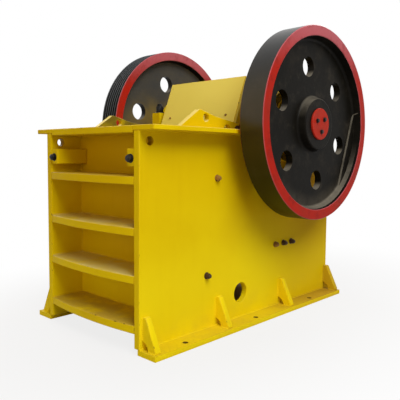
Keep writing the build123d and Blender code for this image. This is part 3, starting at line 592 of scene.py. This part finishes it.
jawHead = (0.363724, 1.305104)  # eccentric centre at rest
boltSets = {
    "bearing_cap_nuts": {"across": 0.054, "head": 0.046, "washer": 0.006, "stud": 0.020, "tail": 0.016,
                         "body": "frame", "finish": "blackBolt",
                         "places": [((side * 0.440, shaftY + way * 0.335, 1.410), (0, 0, 1))
                                    for side in bothSides for way in bothSides]},
    "liner_bolts_dark": {"across": 0.032, "head": 0.020, "washer": 0.004, "stud": 0.011, "tail": 0.010,
                         "body": "frame", "finish": "brownBolt",
                         "places": onPlates((-0.389, 0.357), (0.422, 0.465), (0.519, 0.465))},
    "liner_bolts_rusty": {"across": 0.032, "head": 0.018, "washer": 0.004, "stud": 0.011, "tail": 0.008,
                          "body": "frame", "finish": "rustyBolt",
                          "places": onPlates((-0.301, 0.951), (0.323, 0.465))},
    "clamp_nuts": {"across": 0.038, "head": 0.018, "washer": 0.004, "stud": 0.012, "tail": 0.007,
                   "body": "frame", "finish": "blackBolt",
                   "places": [((side * 0.385, -0.914, 1.072), (0, -1, 0)) for side in bothSides]},
    "bearing_cover_bolts": {"across": 0.024, "head": 0.011, "washer": 0.003, "stud": 0.008, "tail": 0,
                            "body": "frame", "finish": "blackBolt", "places": ringOf(0.562, 0.1715, 8, pi / 8)},
    "wheel_cap_bolts": {"across": 0.023, "head": 0.010, "washer": 0.003, "stud": 0.008, "tail": 0,
                        "body": "shaft", "finish": "blackBolt", "places": ringOf(0.7775, 0.051, 3, radians(37.5))},
    "head_cover_bolts": {"across": 0.024, "head": 0.010, "washer": 0.003, "stud": 0.008, "tail": 0,
                         "body": "swing_jaw", "finish": "blackBolt", "places": ringOf(0.365, 0.170, 8, 0, jawHead)},
    "guard_bolts": {"across": 0.013, "head": 0.0055, "washer": 0.0016, "stud": 0.004, "tail": 0,
                    "body": "swing_jaw", "finish": "rustyBolt",
                    "places": onGuard(x=0.273, y=-0.048, z=1.25, above=0.12, nip=21)},
}
for name, look in boltSets.items():
    bolt = makeBolt(look, boltForm)
    setOut(bolt, look["places"], name, look["body"], look["finish"], boltForm)
print("bolts:", sum(len(look["places"]) for look in boltSets.values()))

# Weld beads: one overlapping ripple, run along each seam
bead = {"long": 0.0085, "wide": 0.0062, "tall": 0.0058, "pitch": 0.011, "lean": 24, "sides": 7, "rings": 4}


def makeRipple(look):
    bpy.ops.object.select_all(action="DESELECT")
    bpy.ops.mesh.primitive_uv_sphere_add(segments=look["sides"], ring_count=look["rings"], radius=1, location=(0, 0, 0))
    ripple = bpy.context.object
    bpy.ops.object.mode_set(mode="EDIT")
    bpy.ops.transform.resize(value=(look["long"], look["wide"], look["tall"]), center_override=(0, 0, 0))
    bpy.ops.transform.rotate(value=radians(look["lean"]), orient_axis="Y", center_override=(0, 0, 0))
    bpy.ops.object.mode_set(mode="OBJECT")
    return ripple


def weldRuns(name, seams, look, body):
    ripple = makeRipple(look)
    runs = []
    for start, end, outward in seams:
        start, end = Vector(start), Vector(end)
        length = (end - start).length
        along = (end - start).normalized()
        out = Vector(outward).normalized()
        run = bpy.data.objects.new(name, ripple.data.copy())
        bpy.context.collection.objects.link(run)
        pickOnly(run)
        row = run.modifiers.new("row", "ARRAY")
        row.count = count = max(2, int(length / look["pitch"]))
        row.use_relative_offset = False
        row.use_constant_offset = True
        row.constant_offset_displace = (length / count, 0, 0)
        bpy.ops.object.modifier_apply(modifier=row.name)
        turned = Matrix((along, out.cross(along), out)).transposed().to_4x4()
        run.data.transform(Matrix.Translation(start + along * length / count / 2) @ turned)
        runs.append(run)
    bpy.data.objects.remove(ripple)
    joinAll(runs)
    bpy.ops.object.shade_smooth()
    runs[0].name = name
    paintOver(runs[0], "framePaint")
    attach(runs[0], body)


def frontSeams(look):  # each seam: start, end, outward
    inner, front, wall, underTop = (look[key] for key in ("inner", "front", "wall", "underTop"))
    undersides = [top - look["ribThick"] for top in look["ribTops"]]
    seams = []
    for top, under in zip(look["ribTops"], undersides):
        for z, way in ((top, 1), (under, -1)):
            seams.append(((-inner, wall, z), (inner, wall, z), (0, -1, way)))
            seams += [((side * inner, front, z), (side * inner, wall, z), (-side, 0, way)) for side in bothSides]
    seams.append(((-inner, wall, underTop), (inner, wall, underTop), (0, -1, -1)))
    for low, high in zip(look["ribTops"], [underTop] + undersides):
        seams += [((side * inner, wall, low), (side * inner, wall, high), (-side, -1, 0)) for side in bothSides]
    return seams


def sideSeams(look):
    outer, front, rear, baseTop = (look[key] for key in ("outer", "front", "rear", "baseTop"))
    under, above = look["underFlange"], look["flangeTop"]
    gapStart, gapEnd = look["flangeGap"]
    seams = []
    for side in bothSides:
        skin, lug = side * outer, side * look["lugFace"]
        seams.append(((skin, front, baseTop), (skin, rear, baseTop), (side, 0, 1)))
        seams.append(((skin, front, under), (skin, gapStart, under), (side, 0, -1)))
        seams.append(((skin, gapEnd, under), (skin, look["flangeEnd"], under), (side, 0, -1)))
        seams += [((lug, start, above), (lug, end, above), (side, 0, 1)) for start, end in look["lugWelds"]]
        start, end = look["snipeRun"]
        for across, up in look["snipeFill"]:
            x, z = side * (outer + across), baseTop + up
            seams.append(((x, start, z), (x, end, z), (side, 0, 1)))
        nearEdge, farEdge = (side * (outer + across) for across in look["gussetOut"])
        low, high = look["gussetUp"]
        for y in look["gussets"]:
            for way in bothSides:
                face = y + way * look["gussetHalf"]
                seams.append(((skin, face, low), (skin, face, high), (side, way, 0)))
                seams.append(((nearEdge, face, baseTop), (farEdge, face, baseTop), (0, way, 1)))
    return seams


def rearSeams(look):
    inner, wall, end = (look[key] for key in ("inner", "rearWall", "rearEnd"))
    tops = [low + look["rearRibThick"] for low in look["rearRibs"]]
    seams = []
    for low, top in zip(look["rearRibs"], tops):
        for z, way in ((low, -1), (top, 1)):
            seams.append(((-inner, wall, z), (inner, wall, z), (0, 1, way)))
            seams += [((side * inner, wall, z), (side * inner, end, z), (-side, 0, way)) for side in bothSides]
    for top, high in zip(tops, look["rearRibs"][1:]):
        seams += [((side * inner, wall, top), (side * inner, wall, high), (-side, 1, 0)) for side in bothSides]
    return seams


weldRuns("front_welds", frontSeams(plate), bead, "frame")
weldRuns("side_welds", sideSeams(plate), bead, "frame")
weldRuns("rear_welds", rearSeams(plate), bead, "frame")
print("welds laid")

# Studio: pale floor, white surroundings, a broad soft lamp on the flywheel side and weaker ones on the others
studio = {
    "floor": 60, "drop": 0.0005, "floorColour": (0.42, 0.40, 0.38, 1), "floorRough": 0.9,
    "ground": (0.30, 0.18, 0.06, 1), "white": (1, 1, 1, 1), "sky": 0.20, "skyColour": (1, 0.77, 0.50, 1),
    "shadowTo": (0.62, 2.2), "shadowKeep": 0.18, "shadowLong": 0.4,
    "betweenX": (0.36, 0.42), "betweenFront": (-0.5, -0.3), "betweenRear": (0.95, 1.2), "groundRear": (0.5, 0.9),
    "flangeX": (0.45, 0.575), "flangeY": (0.055, 0.955),
    "lamps": {
        "key": {"at": (4.9, -1.75, 6.0), "aim": (0, 0.1, 0.8), "size": 5.2, "power": 478, "colour": (1, 1.03, 1.05)},
        "fill": {"at": (1.6, -6.0, 1.6), "aim": (0, 0, 0.8), "size": 3.0, "power": 54, "colour": (1, 0.82, 0.58)},
        "left": {"at": (-6.8, 0.4, 3.8), "aim": (0, 0.1, 0.8), "size": 3.4, "power": 240, "colour": (1, 1, 1)},
        "rear": {"at": (-0.2, 5.6, 6.4), "aim": (0, 0.1, 0.8), "size": 3.0, "power": 200, "colour": (1, 1, 1)}},
}


def whiteSeen(start):  # what the camera, metal and glass see of the surroundings is white
    path = start.node("LightPath", {}, {}).socket.node.outputs
    seen = Wire(start.tree, path["Is Camera Ray"]) + Wire(start.tree, path["Is Glossy Ray"])
    return seen.sum("ADD", seen, Wire(start.tree, path["Is Transmission Ray"]), clamp=True)


def makeFloor(look):
    bpy.ops.object.select_all(action="DESELECT")
    bpy.ops.mesh.primitive_plane_add(size=look["floor"], location=(0, 0, -look["drop"]))
    floor = bpy.context.object
    floor.name = "studio_floor"
    bpy.ops.object.transform_apply(location=True, rotation=True, scale=True)
    material = bpy.data.materials.new("floorPale")
    material.use_nodes = True
    tree = material.node_tree
    shader = tree.nodes["Principled BSDF"]
    shader.inputs["Roughness"].default_value = look["floorRough"]
    start = Wire(tree)
    x, y, _ = start.node("TexCoord", {}, {}, "Object").split()
    # Dark between the side plates and under the base flanges, and a faint shadow round the machine
    between = (1 - abs(x).rise(*look["betweenX"])) * y.rise(*look["betweenFront"]) * (1 - y.rise(*look["betweenRear"]))
    flangeIn, flangeOut = look["flangeX"]
    flanges = (abs(x) > flangeIn) * (abs(x) < flangeOut) * y.near(*look["flangeY"])
    away = (x * x + y * y * look["shadowLong"]) ** 0.5
    clear = (1 - between.most(flanges)) * (1 - look["shadowKeep"] * (1 - away.rise(*look["shadowTo"])))
    # painted shade: brown on the floor between the side plates, fading towards the rear
    plug(shader, colour=(between * (1 - y.rise(*look["groundRear"]))).mix(look["floorColour"], look["ground"]))
    shine = start.node("Emission", {}, {"Color": look["white"], "Strength": 1})
    both = start.node("MixShader", {}, {0: whiteSeen(start) * clear, 1: Wire(tree, shader.outputs[0]), 2: shine})
    tree.links.new(both.socket, tree.nodes["Material Output"].inputs["Surface"])
    floor.data.materials.append(material)


def makeSky(look):
    world = bpy.data.worlds.new("studioSky")
    bpy.context.scene.world = world
    world.use_nodes = True
    tree = world.node_tree
    start = Wire(tree)
    sky = start.node("Background", {}, {"Color": look["skyColour"], "Strength": look["sky"]})
    white = start.node("Background", {}, {"Color": look["white"], "Strength": 1})
    both = start.node("MixShader", {}, {0: whiteSeen(start), 1: sky, 2: white})
    tree.links.new(both.socket, tree.nodes["World Output"].inputs["Surface"])


def makeLamps(lamps):
    for name, lamp in lamps.items():
        data = bpy.data.lights.new(name, "AREA")
        data.shape = "DISK"
        data.size = lamp["size"]
        data.energy = lamp["power"]
        data.color = lamp["colour"]
        thing = bpy.data.objects.new(name, data)
        thing.location = lamp["at"]
        thing.rotation_euler = (Vector(lamp["at"]) - Vector(lamp["aim"])).to_track_quat("Z", "Y").to_euler()
        bpy.context.collection.objects.link(thing)


makeFloor(studio)
makeSky(studio)
makeLamps(studio["lamps"])

# Camera at the photograph's angle, a 400 by 400 frame
cameraLook = {"at": (2.5984, -2.6983, 1.0975), "yaw": -43.55, "pitch": -4.2, "roll": 0.4, "lens": 46.997, "sensor": 36,
              "shiftY": -0.019}


def makeCamera(look):
    yaw, pitch, roll = (radians(look[key]) for key in ("yaw", "pitch", "roll"))
    ahead = Vector((sin(yaw) * cos(pitch), cos(yaw) * cos(pitch), sin(pitch)))
    right = Vector((cos(yaw), -sin(yaw), 0))
    above = right.cross(ahead)
    right, above = cos(roll) * right + sin(roll) * above, cos(roll) * above - sin(roll) * right
    data = bpy.data.cameras.new("photoCamera")
    data.lens = look["lens"]
    data.sensor_width = look["sensor"]
    data.shift_y = look["shiftY"]
    camera = bpy.data.objects.new("photoCamera", data)
    turned = Matrix((right, above, -ahead)).transposed()
    camera.matrix_world = Matrix.Translation(look["at"]) @ turned.to_4x4()
    bpy.context.collection.objects.link(camera)
    bpy.context.scene.camera = camera


makeCamera(cameraLook)
bpy.context.scene.view_settings.view_transform = "Standard"
print("studio and camera placed")
